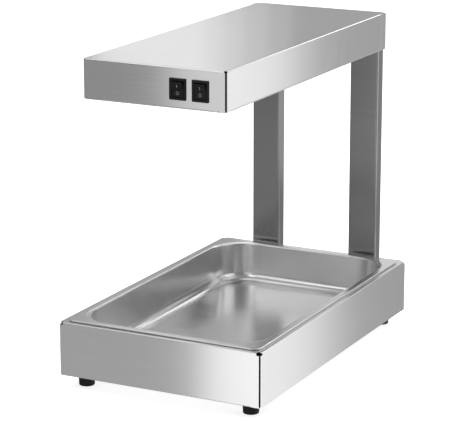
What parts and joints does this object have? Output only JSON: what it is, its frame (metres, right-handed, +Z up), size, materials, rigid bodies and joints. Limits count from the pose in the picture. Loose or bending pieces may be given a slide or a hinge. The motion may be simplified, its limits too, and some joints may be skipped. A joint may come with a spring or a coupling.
{
  "type": "chip warmer",
  "caption": "Chip warmer with a lift-out gastronorm pan in a heated stainless base and a radiant hood carried over it by posts, switched at the hood's front.",
  "frame": {"origin": "on the ground under the middle of the whole warmer", "axes": "+X to the right seen from the switch side, +Y from the switches towards the posts, +Z up"},
  "size_m": [0.34, 0.584, 0.514],
  "materials": {
    "stainless": "fine brushed stainless sheet",
    "post_steel": "brushed stainless rectangular tube",
    "pan_steel": "satin deep-drawn stainless",
    "zinc_steel": "zinc-plated fasteners",
    "aluminised_steel": "dull aluminised sheet",
    "reflector_aluminium": "polished",
    "element_sheath": "heat-darkened steel sheath",
    "quartz": "clear quartz",
    "coil_wire": "resistance wire wound in a close coil",
    "white_ceramic": "unglazed",
    "brass": "tinned brass",
    "black_rubber": "matte",
    "black_gloss": "gloss moulding",
    "black_matte": "fine matte moulding",
    "loom_sleeve": "woven sleeve over the conductors"
  },
  "bodies": {
    "chassis": {"base_shell": "stainless", "base_bottom_plate": "stainless", "bottom_plate_screws": "zinc_steel", "rubber_feet": "black_rubber", "foot_screws": "zinc_steel", "foot_nuts": "zinc_steel", "tray_rails": "aluminised_steel", "heater_tray": "aluminised_steel", "base_element": "element_sheath", "element_terminals": "brass", "element_clips": "zinc_steel", "thermal_limiter": "black_matte", "limiter_tabs": "brass", "terminal_block": "black_matte", "terminal_screws": "brass", "earth_stud": "brass", "earth_nut": "brass", "cable_gland": "black_matte", "gland_locknut": "black_matte", "post_left": "post_steel", "post_right": "post_steel", "post_end_caps": "black_matte", "rivet_nuts": "zinc_steel", "post_bolts": "zinc_steel", "loom_grommets": "black_rubber", "hood_shell": "stainless", "hood_floor": "stainless", "hood_floor_screws": "zinc_steel", "hood_bulkhead": "stainless", "hood_rear_cap": "stainless", "cap_screws": "zinc_steel", "reflector": "reflector_aluminium", "heat_shield": "aluminised_steel", "quartz_tube_left": "quartz", "quartz_tube_right": "quartz", "heating_coils": "coil_wire", "ceramic_ends": "white_ceramic", "tube_pins": "brass", "wire_guard": "stainless", "guard_clips": "zinc_steel", "switch_housing_left": "black_gloss", "switch_housing_right": "black_gloss", "switch_terminals": "brass", "wiring_loom": "loom_sleeve"},
    "pan": {"gn_pan": "pan_steel"},
    "switch_rocker_left": {"rocker_left": "black_gloss"},
    "switch_rocker_right": {"rocker_right": "black_gloss"}
  },
  "joints": [
    {"name": "pan_lift", "type": "slide", "parent": "chassis", "child": "pan", "axis": [0, 0, 1], "range_m": [0, 0.09]},
    {"name": "rocker_left_press", "type": "hinge", "parent": "chassis", "child": "switch_rocker_left", "pos_m": [0.03925, -0.28619, 0.482], "axis": [-1, 0, 0], "range_deg": [0, 18]},
    {"name": "rocker_right_press", "type": "hinge", "parent": "chassis", "child": "switch_rocker_right", "pos_m": [0.07575, -0.28619, 0.482], "axis": [-1, 0, 0], "range_deg": [0, 18]}
  ]
}
